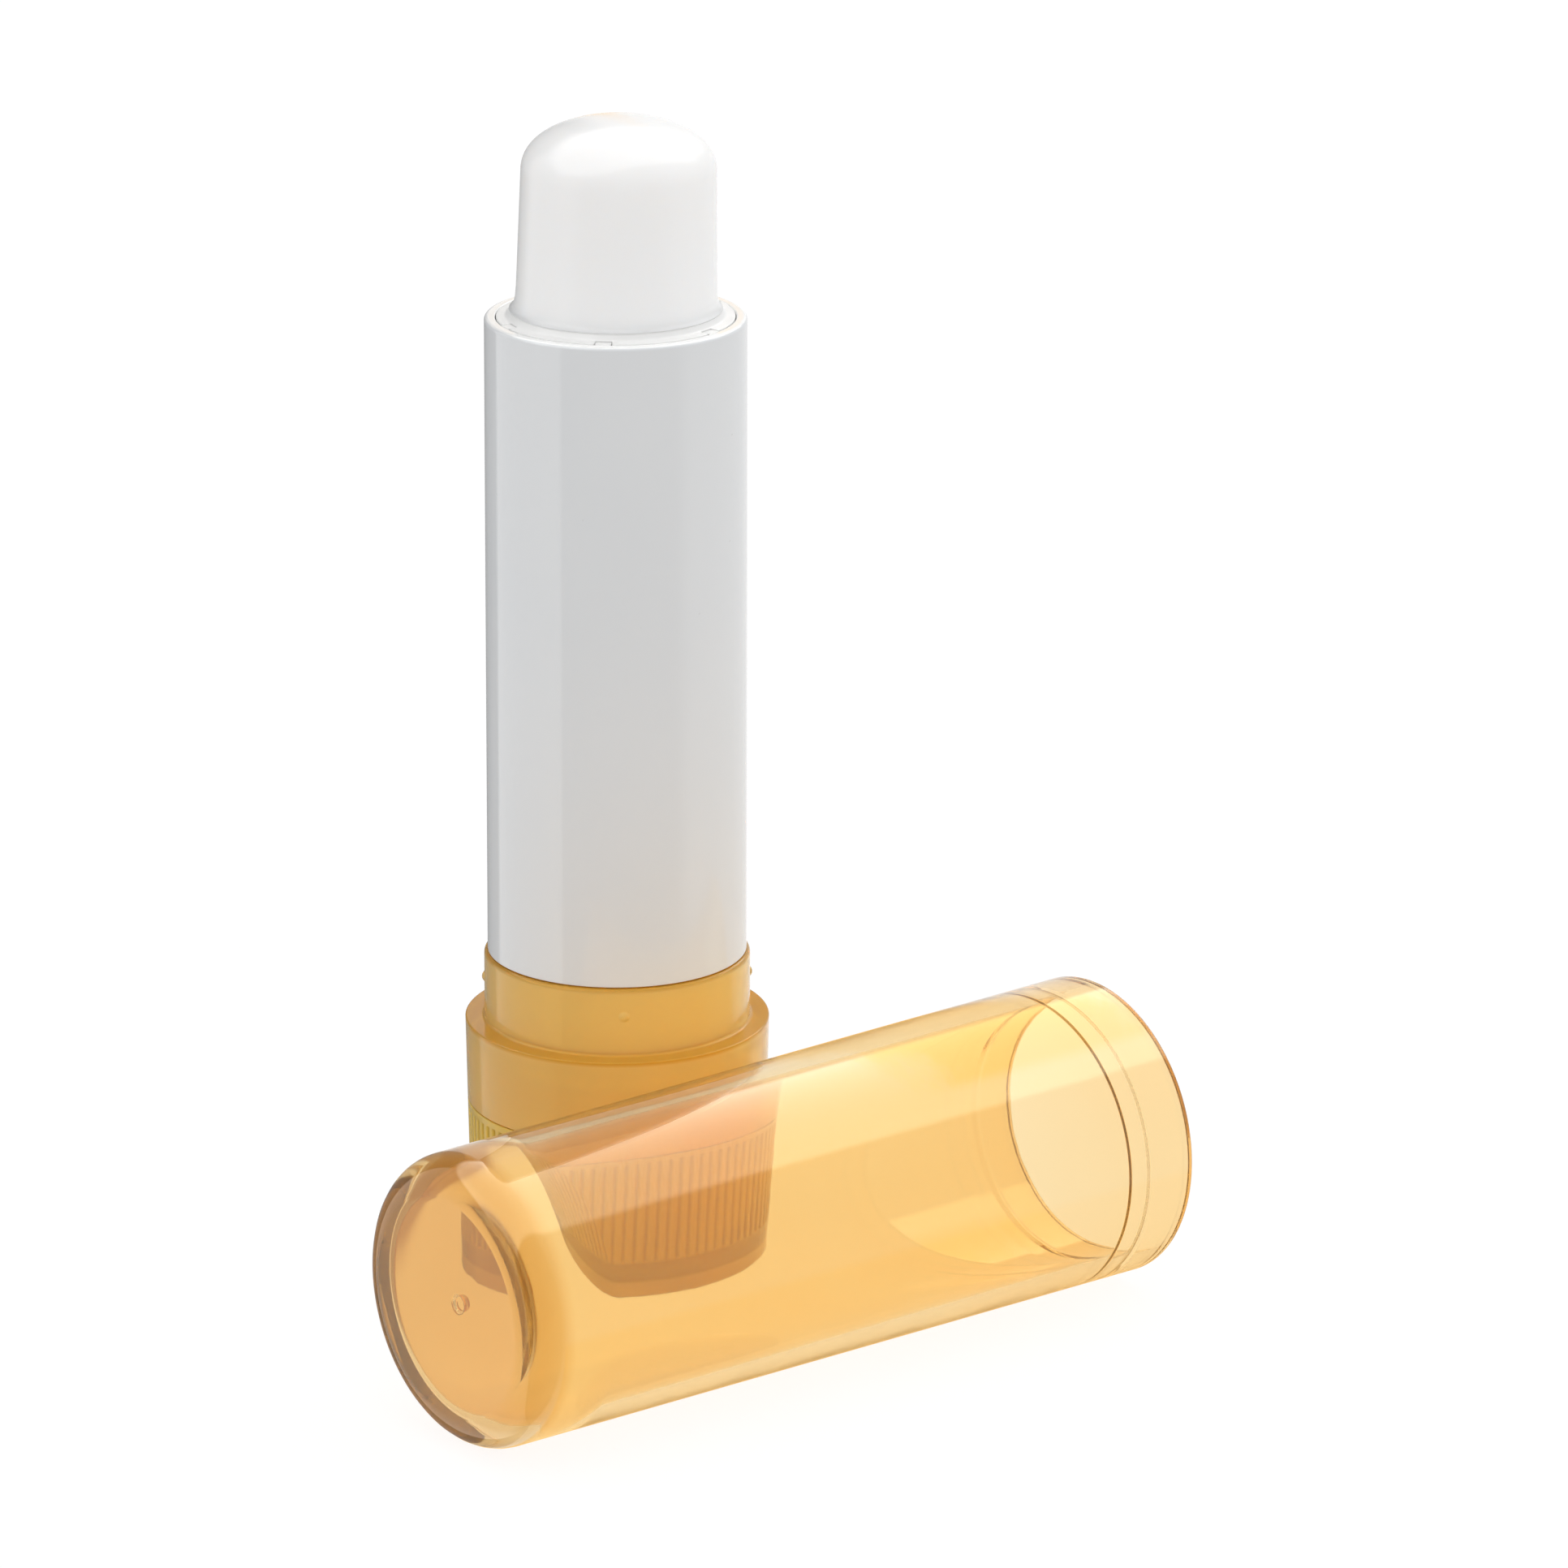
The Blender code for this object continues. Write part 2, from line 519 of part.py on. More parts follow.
def make_elevator_cup():
    rim_round_centre = CUP_RADIUS - CUP_RIM_ROUND
    outline = [
        (0.0, CUP_FLOOR_TOP),
        (CUP_BORE_RADIUS, CUP_FLOOR_TOP),
        (CUP_BORE_RADIUS, CUP_RIM_HEIGHT),
    ]
    outline += arc(rim_round_centre, CUP_RIM_HEIGHT - CUP_RIM_ROUND, CUP_RIM_ROUND, 90, 0, EDGE_STEPS)
    outline += [
        (CUP_RADIUS, GUIDE_RING_TOP),
        (FLANGE_RADIUS, GUIDE_RING_TOP),
        (FLANGE_RADIUS, GUIDE_RING_FOOT),
        (CUP_RADIUS, GUIDE_RING_FOOT),
        (CUP_RADIUS, CUP_UNDERSIDE + FLANGE_THICKNESS),
        (FLANGE_RADIUS, CUP_UNDERSIDE + FLANGE_THICKNESS),
        (FLANGE_RADIUS, CUP_UNDERSIDE),
        (NUT_RADIUS, CUP_UNDERSIDE),
        (NUT_RADIUS, NUT_FOOT),
        (NUT_BORE_RADIUS, NUT_FOOT),
        (NUT_BORE_RADIUS, CUP_UNDERSIDE),
        (0.0, CUP_UNDERSIDE),
    ]
    cup = turned_part("elevator_cup", outline, OUTER_STEPS, WHITE_SATIN)
    half = RIB_WIDTH / 2 + LIFT_GAP
    low = (NOTCH_FLOOR_RADIUS, -half, CUP_UNDERSIDE - OVERRUN)
    high = (FLANGE_RADIUS + OVERRUN, half, GUIDE_RING_TOP + OVERRUN)
    boolean(cup, box_ring("rib_notches", RIB_COUNT, RIB_TURN, low, high), "DIFFERENCE")
    helix_radius = THREAD_RADIUS - THREAD_BITE + NUT_WIRE_RADIUS
    quarter_lead = math.tau / THREAD_STARTS / 2
    ridges = helix_ridges(
        "nut_ridge", helix_radius, NUT_WIRE_RADIUS, NUT_THREAD_FOOT, NUT_THREAD_TOP, quarter_lead
    )
    for ridge in ridges:
        boolean(cup, ridge, "UNION")


def make_balm():
    outline = []
    for index in range(BALM_DOME_STEPS + 1):
        angle = math.pi / 2 * (1 - index / BALM_DOME_STEPS)
        across = BALM_SHOULDER_RADIUS * max(0.0, math.cos(angle)) ** (2 / BALM_DOME_POWER)
        up = BALM_SHOULDER + BALM_DOME_HEIGHT * math.sin(angle) ** (2 / BALM_DOME_POWER)
        outline.append((across, up))
    outline[0] = (0.0, BALM_TOP_HEIGHT)
    outline += [
        (BALM_ROOT_RADIUS, CUP_RIM_HEIGHT + SEAT_GAP),
        (BALM_FOOT_RADIUS, CUP_RIM_HEIGHT),
        (BALM_FOOT_RADIUS, BALM_FOOT + BALM_FOOT_CHAMFER),
        (BALM_FOOT_RADIUS - BALM_FOOT_CHAMFER, BALM_FOOT),
        (0.0, BALM_FOOT),
    ]
    turned_part("balm", outline, INNER_STEPS, WAX)


def make_cap():
    floor_round_centre = CAP_BORE_END_RADIUS - CAP_END_NARROWING - CAP_INNER_ROUND
    mouth_round_centre = CAP_MOUTH_RADIUS - CAP_MOUTH_ROUND
    lip_round_centre = CAP_SOCKET_RADIUS + CAP_MOUTH_ROUND
    end_round_centre = cap_radius(CAP_END_ROUND) - CAP_END_ROUND
    socket_foot = CAP_LENGTH - CAP_SOCKET_DEPTH
    bead = CAP_LENGTH - CAP_BEAD_FROM_MOUTH
    mouth_round_foot = CAP_LENGTH - CAP_MOUTH_ROUND
    outline = [
        (0.0, CAP_END_WALL + CAP_GATE_HEIGHT),
        (CAP_GATE_RADIUS, CAP_END_WALL + CAP_GATE_HEIGHT),
        (CAP_GATE_RADIUS, CAP_END_WALL),
    ]
    outline += arc(floor_round_centre, CAP_END_WALL + CAP_INNER_ROUND, CAP_INNER_ROUND, 270, 360)
    outline += [
        (CAP_BORE_END_RADIUS, CAP_END_WALL + CAP_END_TAPER),
        (CAP_BORE_STEP_RADIUS, socket_foot),
        (CAP_SOCKET_RADIUS, socket_foot + CAP_STEP_RUN),
        (CAP_SOCKET_RADIUS, bead - CAP_BEAD_HALF_WIDTH),
        (CAP_SOCKET_RADIUS - CAP_BEAD_STAND, bead),
        (CAP_SOCKET_RADIUS, bead + CAP_BEAD_HALF_WIDTH),
    ]
    outline += arc(lip_round_centre, mouth_round_foot, CAP_MOUTH_ROUND, 180, 90, EDGE_STEPS)
    outline += arc(mouth_round_centre, mouth_round_foot, CAP_MOUTH_ROUND, 90, 0, EDGE_STEPS)
    outline += arc(end_round_centre, CAP_END_ROUND, CAP_END_ROUND, 0, -90)
    outline.append((0.0, 0.0))
    cap = turned_part("cap", outline, OUTER_STEPS, AMBER)
    cap.location = (CAP_END_X, CAP_AXIS_Y, CAP_END_RADIUS * math.cos(CAP_TILT))
    cap.rotation_euler = (0.0, math.radians(90.0) - CAP_TILT, 0.0)


def build():
    clear_scene()
    new_collection("lip_balm_stick")
    new_collection("cutters")
    make_thumbwheel()
    make_drive_screw()
    make_collar_sleeve()
    make_barrel()
    make_elevator_cup()
    make_balm()
    make_cap()


build()
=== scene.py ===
# Looks for the lip balm stick: fine turned surfaces, clear amber and white plastics, waxy balm,
# and a plain white studio seen from the photograph's viewpoint.

import math

import bmesh
import bpy
from mathutils import Matrix, Vector


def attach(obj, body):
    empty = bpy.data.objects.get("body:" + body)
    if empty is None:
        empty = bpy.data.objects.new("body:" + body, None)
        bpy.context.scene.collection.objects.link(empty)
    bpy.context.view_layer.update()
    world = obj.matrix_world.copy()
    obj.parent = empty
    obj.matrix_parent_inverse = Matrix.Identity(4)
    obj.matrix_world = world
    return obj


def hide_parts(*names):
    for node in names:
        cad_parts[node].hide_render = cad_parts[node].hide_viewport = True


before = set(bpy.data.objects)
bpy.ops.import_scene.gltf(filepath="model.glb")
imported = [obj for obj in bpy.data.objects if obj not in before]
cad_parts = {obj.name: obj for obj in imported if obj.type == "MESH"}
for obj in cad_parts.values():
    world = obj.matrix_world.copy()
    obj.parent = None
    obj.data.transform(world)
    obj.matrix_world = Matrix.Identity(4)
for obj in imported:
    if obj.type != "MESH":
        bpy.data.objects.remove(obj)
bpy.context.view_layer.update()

MM = 0.001

# The photograph's viewpoint, in the object's frame
CAMERA_PLACE = (-283.7, -378.5, 181.64)
CAMERA_FORWARD = (0.5887, 0.7498, -0.3020)
CAMERA_RIGHT = (0.7866, -0.6175, 0.0)
CAMERA_ROLL = math.radians(0.26)
LENS_SHARE = 4.9987
SENSOR = 36.0

# Sizes in millimetres, following the solids, with closer seams
BASE_HEIGHT = 16.465
BASE_TOP_RADIUS = 9.70
BASE_FOOT_RADIUS = 9.36
PARTING = 11.0
NECK_RADIUS = 8.47
NECK_TOP = 20.895
NECK_BORE = 7.65
SKIRT_BORE = 8.6
LEDGE_UNDERSIDE = 15.265
WHEEL_FLOOR = 1.5
BOSS_RADIUS = 3.65
BOSS_TOP = 6.0
SPIGOT_BORE = 7.72
SPIGOT_TOP = 14.065
BARREL_RIM = 62.3
BARREL_RIM_RADIUS = 8.2
BARREL_FOOT = 20.96
BARREL_FOOT_RADIUS = 8.25
BARREL_BORE = 7.5
STEM_UPPER_RADIUS = 7.58
STEM_RADIUS = 7.35
STEM_FOOT = 11.495
STEM_BORE = 6.6
BALM_TOP = 74.85
CAP_LENGTH = 51.0
CAP_END_RADIUS = 9.16
CAP_MOUTH_RADIUS = 9.65
CAP_SOCKET_RADIUS = 8.68
CAP_SOCKET_DEPTH = 4.7
CAP_BEAD_DEPTH = 3.0
CAP_END = (-28.0, -20.13)
CAP_FLOOR = 2.0
CAP_GATE_HEIGHT = 0.6
CAP_INNER_ROUND = 1.1
CAP_OUTER_ROUND = 2.2

# The knurl, the heights over which its grooves run out, and the fine rows that follow them
KNURL_COUNT = 84
KNURL_DEPTH = 0.18
KNURL_FOOT = (2.72, 2.9)
KNURL_TOP = (10.42, 10.55)
KNURL_ROWS = ((2.66, 2.96), (10.36, 10.6))
WHEEL_SKIN = 9.2

# The neck's nubs, each the tip of a sunken ball, and the fine rows that follow them
NUB_COUNT = 4
NUB_TURN = math.radians(-33.9)
NUB_HEIGHT = 19.1
NUB_RADIUS = 0.42
NUB_SUNK = 0.26
NUB_ROWS = (18.6, 19.6)
NECK_SKIN = 8.3

# The barrel's guide ribs, and the notches in the cup's lip that clear them
RIB_COUNT = 6
RIB_TURN = math.radians(-13.0)
RIB_INNER = 6.9
RIB_OUTER = 7.52
RIB_WIDTH = 1.0
RIB_FOOT = 22.04
RIB_TOP = 62.33
RIB_EDGE = 0.05
NOTCH_FLOOR = 6.88
NOTCH_HALF_WIDTH = 0.545
NOTCH_RADIUS = 7.0

# The balm's dome and its slight lean to the photograph's right
DOME_RADIUS = 6.08
DOME_HEIGHT = 3.35
DOME_POWER = 2.2
DOME_STEPS = 32
LEAN = 0.2
LEAN_HEIGHTS = (62.0, 68.0)

# The cup's lip
LIP_FOOT = 62.0
LIP_INNER = 6.42
LIP_OUTER = 7.44

# The floor lies just under the stick, and the cap just over the table's height
FLOOR_HALF_SIDE = 4.0
FLOOR_DROP = 0.02
CAP_LIFT = 0.005


# Turned surfaces


def rounded(corners, steps=6, hold=0.025):
    """Path through (radius, height, rounding) corners, each rounded by an arc of that radius."""
    points = []
    last = len(corners) - 1
    for index, (radius, height, rounding) in enumerate(corners):
        here = Vector((radius, height))
        if rounding <= 0.0 or index in (0, last):
            points.append(here)
            continue
        back = Vector(corners[index - 1][:2]) - here
        ahead = Vector(corners[index + 1][:2]) - here
        opening = back.angle(ahead)
        reach = min(rounding / math.tan(opening / 2), 0.48 * back.length, 0.48 * ahead.length)
        arc_radius = reach * math.tan(opening / 2)
        middle = (back.normalized() + ahead.normalized()).normalized()
        centre = here + middle * (arc_radius / math.sin(opening / 2))
        first = here + back.normalized() * reach - centre
        final = here + ahead.normalized() * reach - centre
        turn = first.angle_signed(final)
        if back.length > reach + 3 * hold:
            points.append(centre + first + back.normalized() * hold)
        for step in range(steps + 1):
            angle = -turn * step / steps
            cosine, sine = math.cos(angle), math.sin(angle)
            points.append(centre + Vector((
                first.x * cosine - first.y * sine, first.x * sine + first.y * cosine)))
        if ahead.length > reach + 3 * hold:
            points.append(centre + final + ahead.normalized() * hold)
    return [(point.x, point.y) for point in points]


def closed(corners, steps=6):
    """Rounded path that runs on from its last corner to its first."""
    return rounded([corners[-1], *corners, corners[0]], steps)[1:-1]


def divided(path, longest, low, high, beyond, margin=0.02):
    """The same path, its runs between two heights and beyond a radius cut into shorter ones."""
    out = [path[0]]
    for (r0, z0), (r1, z1) in zip(path, path[1:]):
        length = math.hypot(r1 - r0, z1 - z0)
        between = max(z0, z1) > low + margin and min(z0, z1) < high - margin
        inside = between and min(r0, r1) > beyond
        count = max(1, math.ceil(length / longest)) if inside else 1
        for step in range(1, count + 1):
            share = step / count
            out.append((r0 + (r1 - r0) * share, z0 + (z1 - z0) * share))
    return out


def placed(name, shape):
    """The shape as an object of the scene."""
    mesh = bpy.data.meshes.new(name)
    shape.to_mesh(mesh)
    shape.free()
    item = bpy.data.objects.new(name, mesh)
    bpy.context.scene.collection.objects.link(item)
    return item


def turned(name, path, segments, ring=False, swell=None):
    """A smooth body of revolution about Z. Points on the axis close it; swell moves its skin."""
    shape = bmesh.new()
    rows = []
    for radius, height in path:
        if radius < 1e-6:
            rows.append([shape.verts.new((0.0, 0.0, height * MM))])
            continue
        row = []
        for index in range(segments):
            angle = math.tau * index / segments
            out = radius + (swell(angle, radius, height) if swell else 0.0)
            place = (out * math.cos(angle) * MM, out * math.sin(angle) * MM, height * MM)
            row.append(shape.verts.new(place))
        rows.append(row)
    pairs = list(zip(rows, rows[1:]))
    if ring:
        pairs.append((rows[-1], rows[0]))
    for upper, lower in pairs:
        for index in range(segments):
            after = (index + 1) % segments
            if len(upper) == 1:
                shape.faces.new((upper[0], lower[index], lower[after]))
            elif len(lower) == 1:
                shape.faces.new((upper[index], lower[0], upper[after]))
            else:
                shape.faces.new((upper[index], lower[index], lower[after], upper[after]))
    bmesh.ops.recalc_face_normals(shape, faces=shape.faces)
    item = placed(name, shape)
    item.data.shade_smooth()
    return item


def base_radius(height):
    """Radius of the base's tapered outside."""
    return BASE_FOOT_RADIUS + (BASE_TOP_RADIUS - BASE_FOOT_RADIUS) * height / BASE_HEIGHT


def smooth(low, high, value):
    """Eased run from zero at low to one at high."""
    share = min(1.0, max(0.0, (value - low) / (high - low)))
    return share * share * (3 - 2 * share)


def spaced(count, first):
    """Angles spread evenly round the axis, beginning with the first."""
    return [first + math.tau * index / count for index in range(count)]


def nearest(angle, turns):
    """The smallest angle between the given one and any of the turns."""
    return min(abs(math.remainder(angle - turn, math.tau)) for turn in turns)


# Node trees


class Nodes:
    """A node tree, with short calls for the nodes that materials and the world share."""

    def __init__(self, tree):
        self.tree = tree

    def add(self, kind, **inputs):
        """A new node. Inputs, written with _ for a space, are values or other nodes' outputs."""
        node = self.tree.nodes.new("ShaderNode" + kind)
        for name, value in inputs.items():
            self.feed(node.inputs[name.replace("_", " ")], value)
        return node

    def feed(self, socket, value):
        """Links an output to the socket, or sets the socket's own number, vector or colour."""
        if isinstance(value, bpy.types.NodeSocket):
            self.tree.links.new(value, socket)
        elif socket.type == "RGBA":
            socket.default_value = (*value, 1.0)
        else:
            socket.default_value = value

    def maths(self, operation, first, second=0.0):
        node = self.add("Math")
        node.operation = operation
        self.feed(node.inputs[0], first)
        self.feed(node.inputs[1], second)
        return node.outputs["Value"]

    def vectors(self, operation, first, second=None):
        node = self.add("VectorMath")
        node.operation = operation
        self.feed(node.inputs[0], first)
        if second is not None:
            self.feed(node.inputs[1], second)
        return node.outputs

    def spread(self, source, low, high, out_low=0.0, out_high=1.0, eased=False):
        """The source's run from low to high, as a run from out_low to out_high."""
        node = self.add("MapRange", Value=source, From_Min=low, From_Max=high,
                        To_Min=out_low, To_Max=out_high)
        node.interpolation_type = "SMOOTHSTEP" if eased else "LINEAR"
        return node.outputs["Result"]

    def between(self, source, low, high, edge, eased=False):
        """One from low to high and zero outside, with soft edges."""
        start = self.spread(source, low - edge, low + edge, eased=eased)
        end = self.spread(source, high + edge, high - edge, eased=eased)
        return self.maths("MULTIPLY", start, end)

    def blend(self, kind, share, first, second):
        node = self.add("Mix", Factor=share)
        node.data_type = "RGBA"
        node.blend_type = kind
        under, over = [socket for socket in node.inputs if socket.type == "RGBA"]
        self.feed(under, first)
        self.feed(over, second)
        return [socket for socket in node.outputs if socket.type == "RGBA"][0]


class Look(Nodes):
    """A material on its Principled shader. Its patterns follow the object's own coordinates."""

    def __init__(self, name):
        self.material = bpy.data.materials.new(name)
        self.material.use_nodes = True
        super().__init__(self.material.node_tree)
        self.shader = self.tree.nodes["Principled BSDF"]
        self.output = self.tree.nodes["Material Output"]
        self.place = self.add("TexCoord").outputs["Object"]

    def set(self, **inputs):
        """Feeds the shader's sockets, written with _ for a space."""
        for name, value in inputs.items():
            self.feed(self.shader.inputs[name.replace("_", " ")], value)

    def noise(self, scale, detail=2.0, stretch=(1.0, 1.0, 1.0), roughness=0.5):
        mapping = self.add("Mapping", Vector=self.place, Scale=stretch)
        node = self.add("TexNoise", Vector=mapping.outputs["Vector"], Scale=scale, Detail=detail,
                        Roughness=roughness)
        return node.outputs["Fac"]

    def ramp(self, source, first, second, low=0.3, high=0.7):
        """First colour where the source is low, second where it is high."""
        node = self.add("ValToRGB", Fac=source)
        stops = zip(node.color_ramp.elements, (low, high), (first, second))
        for element, position, colour in stops:
            element.position = position
            element.color = (*colour, 1.0)
        return node.outputs["Color"]

    def radius(self):
        """Distance from the stick's axis, in metres."""
        flat = self.vectors("MULTIPLY", self.place, (1.0, 1.0, 0.0))["Vector"]
        return self.vectors("LENGTH", flat)["Value"]

    def distance(self, axis):
        """Distance along X, Y or Z, in metres."""
        return self.add("SeparateXYZ", Vector=self.place).outputs[axis]

    def bump(self, *layers):
        """Bumps of (height field, depth in millimetres), one over the other."""
        normal = None
        for field, depth in layers:
            node = self.add("Bump", Strength=1.0, Distance=depth * MM, Height=field)
            if normal is not None:
                self.feed(node.inputs["Normal"], normal)
            normal = node.outputs["Normal"]
        self.set(Normal=normal)

    def absorb(self, density):
        """Amber that deepens the further light runs through it."""
        volume = self.add("VolumeAbsorption", Color=(0.61, 0.44, 0.0), Density=density)
        self.feed(self.output.inputs["Volume"], volume.outputs["Volume"])


# Materials


def clear_amber(name):
    """Clear amber plastic with a trace of haze."""
    look = Look(name)
    look.set(IOR=1.5, Transmission_Weight=0.955, Metallic=0.0, Specular_Tint=(1.0, 0.9, 0.62))
    flow = look.noise(140.0, 2.0, (1.0, 1.0, 0.35))
    colour = look.ramp(flow, (1.0, 0.79, 0.455), (1.0, 0.805, 0.475))
    # The solid closed end is painted deeper, partly for its thickness and partly as painted shade;
    # the last stretch before the mouth is deeper in tone
    along = look.distance("X")
    end = look.spread(along, -25.8 * MM, -25.0 * MM, 1.0, 0.0)
    mouth = look.spread(along, 6.0 * MM, 20.0 * MM)
    colour = look.blend("MULTIPLY", end, colour, (0.88, 0.75, 0.53))
    colour = look.blend("MULTIPLY", mouth, colour, (1.0, 0.93, 0.82))
    scuffs = look.noise(2600.0, 3.0, (1.0, 1.0, 0.25), 0.65)
    look.set(Base_Color=colour, Roughness=look.spread(scuffs, 0.55, 0.8, 0.02, 0.07))
    look.bump((look.noise(110.0, 1.0), 0.02), (look.noise(520.0, 2.0), 0.0024))
    look.absorb(50.0)
    return look.material


def cloudy_amber(name, light, deep, bands, shade_grooves=False):
    """Cloudy amber plastic of the base, with bands of painted shade, painted light and tone at
    given heights.
    """
    band_edge = 0.12
    look = Look(name)
    look.set(IOR=1.5, Transmission_Weight=0.58, Metallic=0.0, Specular_IOR_Level=0.1,
             Specular_Tint=(1.0, 0.6, 0.2))
    flow = look.noise(160.0, 3.0, (1.0, 1.0, 0.5))
    height = look.distance("Z")
    colour = look.ramp(flow, deep, light)
    for low, high, tone in bands:
        band = look.between(height, low * MM, high * MM, band_edge * MM)
        colour = look.blend("MIX", band, colour, tone)
    if shade_grooves:
        # Painted shade: the grooves of the knurl are painted darker than its ridges
        slope = (BASE_TOP_RADIUS - BASE_FOOT_RADIUS) / BASE_HEIGHT
        skin = look.maths("ADD", look.maths("MULTIPLY", height, slope), BASE_FOOT_RADIUS * MM)
        depth = look.maths("SUBTRACT", skin, look.radius())
        groove = look.maths("MULTIPLY", look.spread(depth, 0.03 * MM, 0.16 * MM),
                            look.spread(depth, 0.5 * MM, 0.4 * MM))
        groove_shade = look.ramp(flow, (0.74, 0.66, 0.45), (0.76, 0.68, 0.47))
        colour = look.blend("MULTIPLY", groove, colour, groove_shade)
    scuffs = look.noise(2400.0, 3.0, (1.0, 1.0, 0.2), 0.65)
    look.set(Base_Color=colour, Roughness=look.spread(scuffs, 0.5, 0.8, 0.12, 0.24))
    grain = look.noise(2600.0, 3.0, (1.0, 1.0, 0.15))
    look.bump((look.noise(120.0, 1.0), 0.006), (grain, 0.0006))
    look.absorb(80.0)
    return look.material


def white_gloss(name):
    """Glossy white moulded plastic, painted lighter inside as painted light, with fine scuffs and a
    few specks of dust.
    """
    look = Look(name)
    look.set(IOR=1.5, Metallic=0.0, Subsurface_Weight=0.0)
    tone = look.noise(60.0, 2.0)
    outer = look.ramp(tone, (0.724, 0.742, 0.76), (0.744, 0.758, 0.771))
    # Painted light: the rim and the inside of the bore take a lighter white than the outside
    inner = look.ramp(tone, (0.93, 0.93, 0.925), (0.95, 0.95, 0.945))
    inside = look.spread(look.radius(), 8.13 * MM, 8.07 * MM)
    dust = look.ramp(look.noise(1500.0, 1.0), (0.85, 0.84, 0.82), (1.0, 1.0, 1.0), 0.16, 0.19)
    colour = look.blend("MULTIPLY", 1.0, look.blend("MIX", inside, outer, inner), dust)
    scuffs = look.noise(1800.0, 4.0, (1.0, 1.0, 0.08), 0.7)
    look.set(Base_Color=colour, Roughness=look.spread(scuffs, 0.45, 0.8, 0.08, 0.2))
    waves = look.noise(90.0, 1.0, (1.0, 1.0, 0.3))
    grain = look.noise(2400.0, 3.0, (1.0, 1.0, 0.2))
    look.bump((waves, 0.008), (grain, 0.0004))
    return look.material


def white_satin(name, shade_level=1.0):
    """Plain white moulded plastic of the inner pieces; a level under one darkens it as painted
    shade.
    """
    look = Look(name)
    look.set(IOR=1.48, Metallic=0.0)
    colour = look.ramp(look.noise(300.0, 3.0), (0.92 * shade_level, 0.92 * shade_level, 0.91 * shade_level),
                       (0.945 * shade_level, 0.945 * shade_level, 0.94 * shade_level))
    look.set(Base_Color=colour, Roughness=look.spread(look.noise(1500.0, 3.0), 0.3, 0.7, 0.3, 0.45))
    look.bump((look.noise(2600.0, 2.0), 0.001))
    return look.material


def wax(name):
    """Waxy, slightly see-through balm."""
    look = Look(name)
    look.set(IOR=1.44, Metallic=0.0, Specular_IOR_Level=0.4, Subsurface_Weight=0.6,
             Subsurface_Scale=0.0018, Subsurface_Radius=(1.0, 0.92, 0.85))
    cloud = look.noise(70.0, 2.0, (1.0, 1.0, 0.6))
    colour = look.ramp(cloud, (0.955, 0.945, 0.93), (0.965, 0.955, 0.942))
    look.set(Base_Color=colour, Roughness=look.spread(look.noise(90.0, 2.0), 0.3, 0.75, 0.2, 0.24))
    look.bump((look.noise(90.0, 1.0, (1.0, 1.0, 0.3)), 0.008))
    return look.material


def paint(item, material):
    """Gives a piece its one material."""
    item.data.materials.clear()
    item.data.materials.append(material)


def wear(item, material, body, slot, *nodes):
    """Gives a piece its material and its place in the model."""
    paint(item, material)
    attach(item, body)
    if nodes:
        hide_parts(*nodes)


# Pieces


def make_cap():
    gate_top = CAP_FLOOR + CAP_GATE_HEIGHT
    socket = CAP_LENGTH - CAP_SOCKET_DEPTH
    bead = CAP_LENGTH - CAP_BEAD_DEPTH
    corners = [
        (0.0, gate_top, 0.0),
        (0.5, gate_top, 0.15),
        (0.58, CAP_FLOOR, 0.12),
        (7.3, CAP_FLOOR, CAP_INNER_ROUND),
        (8.3, CAP_FLOOR + 3.0, 9.0),
        (8.4, socket, 0.04),
        (CAP_SOCKET_RADIUS, socket + 0.12, 0.06),
        (CAP_SOCKET_RADIUS, bead - 0.35, 0.1),
        (8.54, bead, 0.2),
        (CAP_SOCKET_RADIUS, bead + 0.35, 0.1),
        (8.7, CAP_LENGTH, 0.16),
        (CAP_MOUTH_RADIUS, CAP_LENGTH, 0.18),
        (CAP_END_RADIUS, 0.0, CAP_OUTER_ROUND),
        (0.0, 0.0, 0.0),
    ]
    cap = turned("cap_shell", rounded(corners, 8), 256)
    tilt = math.atan2(CAP_MOUTH_RADIUS - CAP_END_RADIUS, CAP_LENGTH)
    lying = Matrix.Rotation(math.radians(90.0) - tilt, 4, "Y")
    place = Vector((*CAP_END, CAP_END_RADIUS * math.cos(tilt) + CAP_LIFT)) * MM
    cap.data.transform(Matrix.Translation(place) @ lying)
    wear(cap, clear_amber("amber_cap"), "cap", "cap", "cap")


